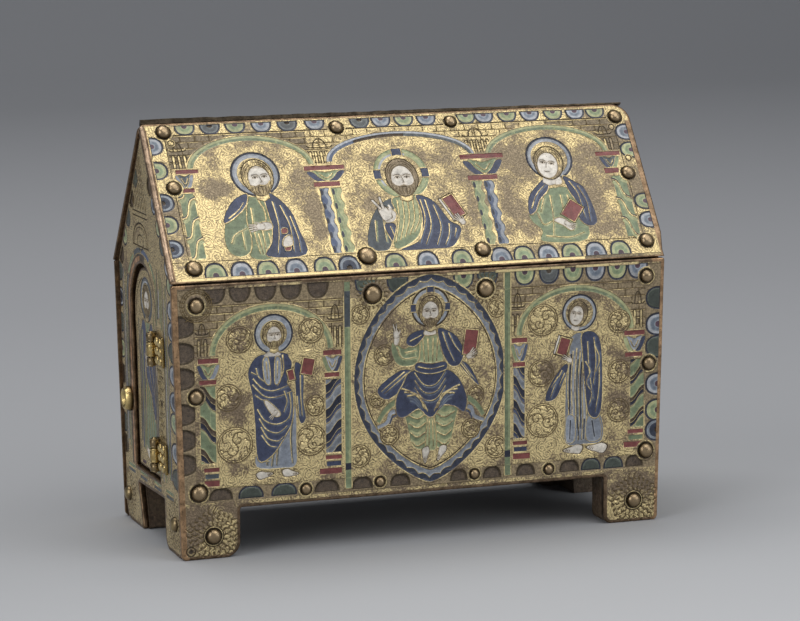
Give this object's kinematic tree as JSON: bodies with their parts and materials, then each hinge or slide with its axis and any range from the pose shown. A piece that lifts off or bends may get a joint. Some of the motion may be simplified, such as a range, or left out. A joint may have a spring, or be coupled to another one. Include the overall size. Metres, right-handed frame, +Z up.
{
  "type": "reliquary casket",
  "caption": "House-shaped casket of enamelled gilt copper plates on a hollow dark wood core, with feet and a hinged arched door in one gable end.",
  "frame": {"origin": "on the ground, under the middle of the casket's bounding box", "axes": "+X along the casket to the viewer's right, away from the door; +Y from the front to the back; +Z up"},
  "size_m": [0.1835, 0.0808, 0.1466],
  "materials": {
    "dark_wood": "old dark wood, matt, worn edges",
    "enamelled_front": "gilt copper, engraved, with inlaid blue, green, red and white enamel; gilding rubbed to brown copper, some enamel lost",
    "enamelled_roof": "bright gilt copper, engraved, with inlaid blue, green and red enamel",
    "enamelled_gable": "worn gilt copper with green and blue enamel, dull grey-brown patina",
    "enamelled_back": "dark patinated gilt copper with plain enamel roundels",
    "gilt_fittings": "bright gilding on cast bronze",
    "brown_nails": "domed copper nail heads, gilding mostly worn off"
  },
  "bodies": {
    "casket": {"back_nail_01": "brown_nails", "back_nail_02": "brown_nails", "back_nail_03": "brown_nails", "back_nail_04": "brown_nails", "back_nail_05": "brown_nails", "back_nail_06": "brown_nails", "back_plate": "enamelled_back", "back_roof_nail_01": "brown_nails", "back_roof_nail_02": "brown_nails", "back_roof_nail_03": "brown_nails", "back_roof_nail_04": "brown_nails", "core_back_board": "dark_wood", "core_floor_board": "dark_wood", "core_front_board": "dark_wood", "core_left_board": "dark_wood", "core_right_board": "dark_wood", "core_roof_back_board": "dark_wood", "core_roof_front_board": "dark_wood", "front_nail_01": "brown_nails", "front_nail_02": "brown_nails", "front_nail_03": "brown_nails", "front_nail_04": "brown_nails", "front_nail_05": "brown_nails", "front_nail_06": "brown_nails", "front_nail_07": "brown_nails", "front_nail_08": "brown_nails", "front_nail_09": "brown_nails", "front_nail_10": "brown_nails", "front_plate": "enamelled_front", "front_small_nail_01": "brown_nails", "front_small_nail_02": "brown_nails", "front_small_nail_03": "brown_nails", "front_small_nail_04": "brown_nails", "gable_nail_01": "gilt_fittings", "gable_nail_02": "gilt_fittings", "hinge_lower_frame_leaf": "gilt_fittings", "hinge_lower_pin": "brown_nails", "hinge_upper_frame_leaf": "gilt_fittings", "hinge_upper_pin": "brown_nails", "left_gable_plate": "enamelled_gable", "lock_boss": "gilt_fittings", "right_gable_nail_01": "brown_nails", "right_gable_nail_02": "brown_nails", "right_gable_plate": "enamelled_gable", "roof_back_plate": "enamelled_back", "roof_front_plate": "enamelled_roof", "roof_nail_01": "brown_nails", "roof_nail_02": "brown_nails", "roof_nail_03": "brown_nails", "roof_nail_04": "brown_nails", "roof_nail_05": "brown_nails", "roof_nail_06": "brown_nails", "roof_nail_07": "brown_nails", "roof_nail_08": "brown_nails", "roof_nail_09": "brown_nails", "roof_nail_10": "brown_nails"},
    "door": {"door_plate": "enamelled_gable", "hinge_upper_door_leaf": "gilt_fittings", "hinge_lower_door_leaf": "gilt_fittings"}
  },
  "joints": [
    {"name": "door_hinge", "type": "hinge", "parent": "casket", "child": "door", "pos_m": [-0.08969, -0.01265, 0.04997], "axis": [-0.0147, 0, 0.9999], "range_deg": [0, 120]}
  ]
}
